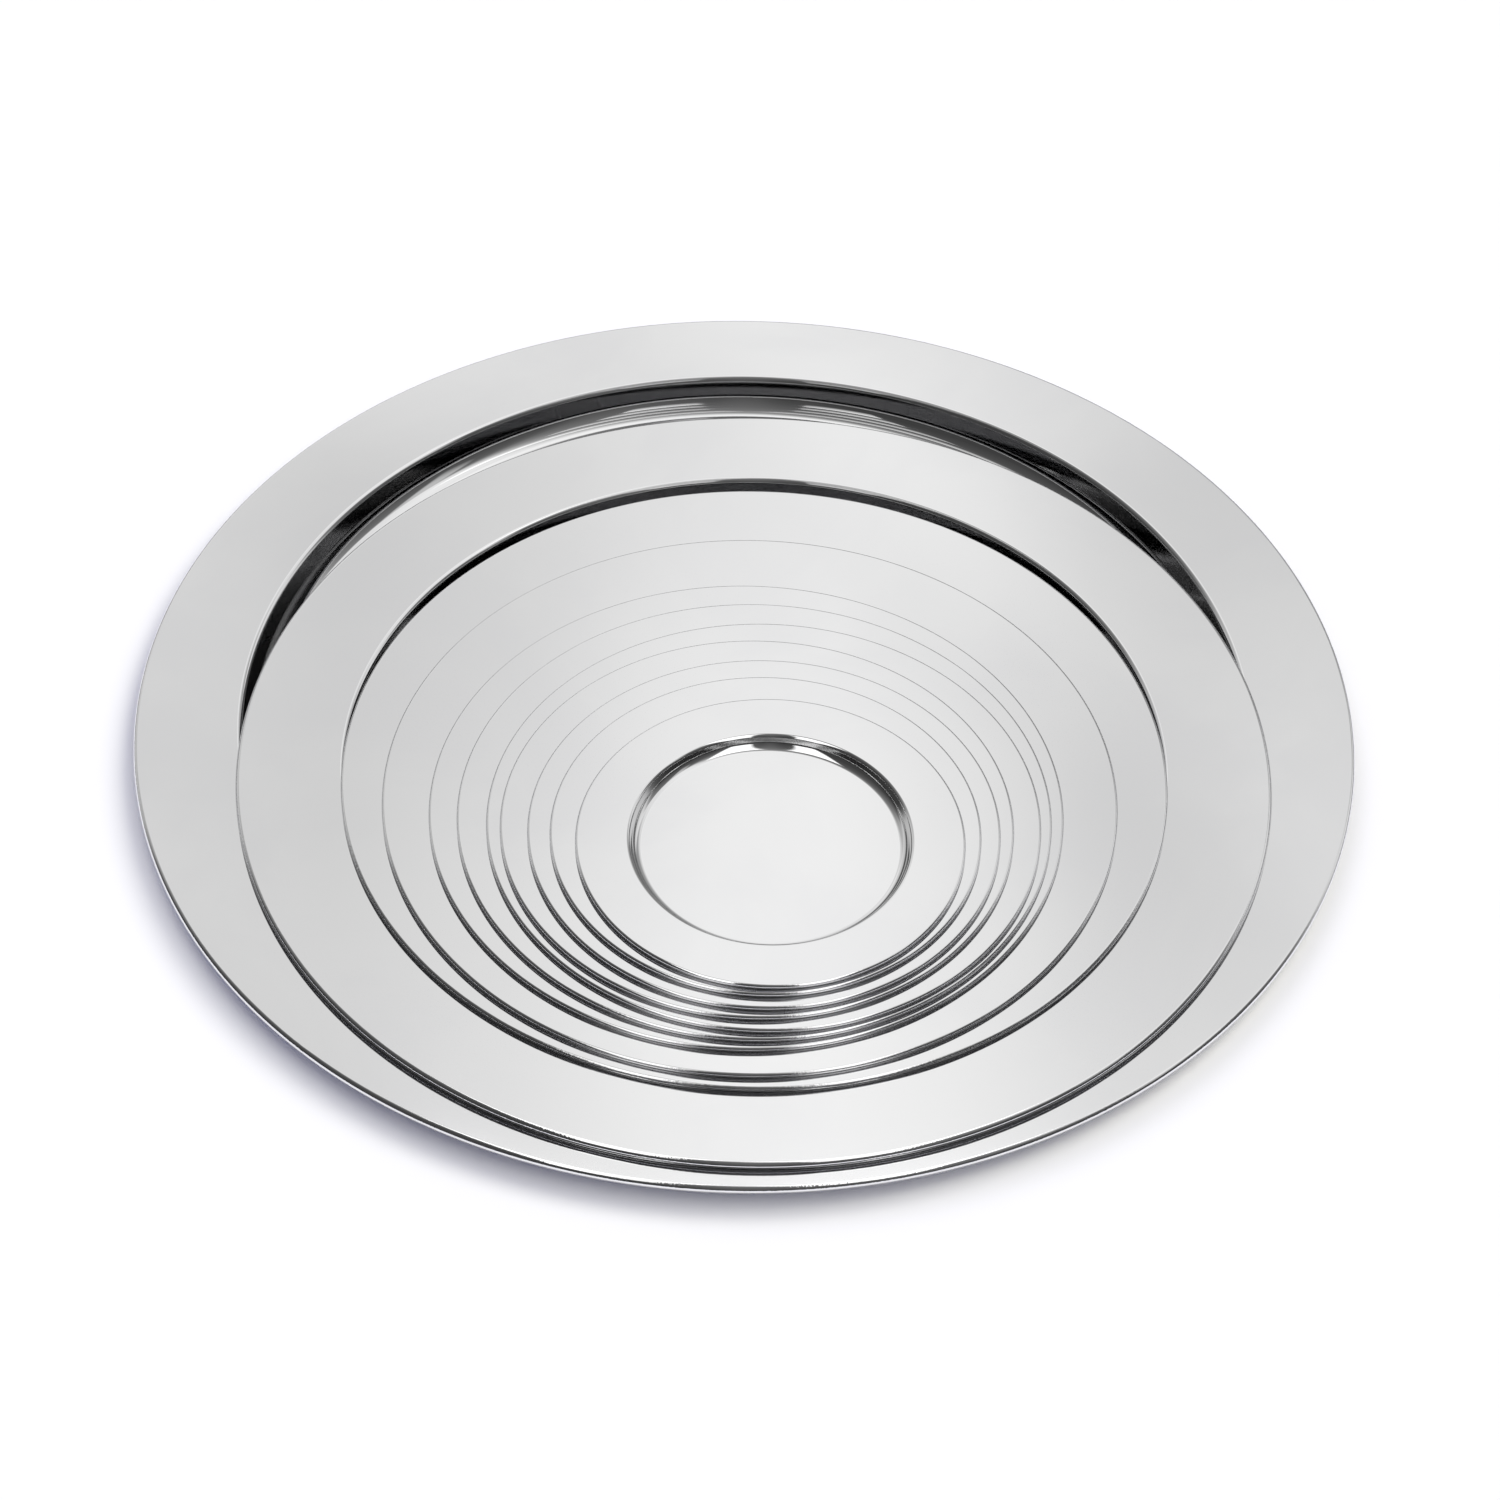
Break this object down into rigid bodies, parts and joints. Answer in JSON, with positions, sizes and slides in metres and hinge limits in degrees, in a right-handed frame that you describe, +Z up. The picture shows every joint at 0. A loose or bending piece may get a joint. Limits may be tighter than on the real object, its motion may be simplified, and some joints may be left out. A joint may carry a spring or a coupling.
{
  "type": "nest of round serving platters",
  "caption": "Round polished steel serving platters of graded size, each with a flat rim, rolled edge and shallow well, nested one in another so that each lifts off the next.",
  "frame": {"origin": "under the middle of the largest platter's floor, on the surface the nest stands on", "axes": "+Z up through the largest platter's centre; -Y is the side that the smaller platters are pushed towards, nearest the viewer"},
  "size_m": [0.6, 0.6, 0.0477],
  "materials": {
    "polished_steel": "mirror-polished stainless steel"
  },
  "bodies": {
    "platter_600": {"platter_600": "polished_steel"},
    "platter_500": {"platter_500": "polished_steel"},
    "platter_400": {"platter_400": "polished_steel"},
    "platter_350": {"platter_350": "polished_steel"},
    "platter_300": {"platter_300": "polished_steel"},
    "platter_280": {"platter_280": "polished_steel"},
    "platter_260": {"platter_260": "polished_steel"},
    "platter_240": {"platter_240": "polished_steel"},
    "platter_220": {"platter_220": "polished_steel"},
    "platter_200": {"platter_200": "polished_steel"},
    "platter_180": {"platter_180": "polished_steel"}
  },
  "joints": [
    {"name": "lift_500", "type": "slide", "parent": "platter_600", "child": "platter_500", "axis": [0, 0, 1], "range_m": [0, 0.05]},
    {"name": "lift_400", "type": "slide", "parent": "platter_500", "child": "platter_400", "axis": [0, 0, 1], "range_m": [0, 0.05]},
    {"name": "lift_350", "type": "slide", "parent": "platter_400", "child": "platter_350", "axis": [0, 0, 1], "range_m": [0, 0.05]},
    {"name": "lift_300", "type": "slide", "parent": "platter_350", "child": "platter_300", "axis": [0, 0, 1], "range_m": [0, 0.05]},
    {"name": "lift_280", "type": "slide", "parent": "platter_300", "child": "platter_280", "axis": [0, 0, 1], "range_m": [0, 0.05]},
    {"name": "lift_260", "type": "slide", "parent": "platter_280", "child": "platter_260", "axis": [0, 0, 1], "range_m": [0, 0.05]},
    {"name": "lift_240", "type": "slide", "parent": "platter_260", "child": "platter_240", "axis": [0, 0, 1], "range_m": [0, 0.05]},
    {"name": "lift_220", "type": "slide", "parent": "platter_240", "child": "platter_220", "axis": [0, 0, 1], "range_m": [0, 0.05]},
    {"name": "lift_200", "type": "slide", "parent": "platter_220", "child": "platter_200", "axis": [0, 0, 1], "range_m": [0, 0.05]},
    {"name": "lift_180", "type": "slide", "parent": "platter_200", "child": "platter_180", "axis": [0, 0, 1], "range_m": [0, 0.05]}
  ]
}
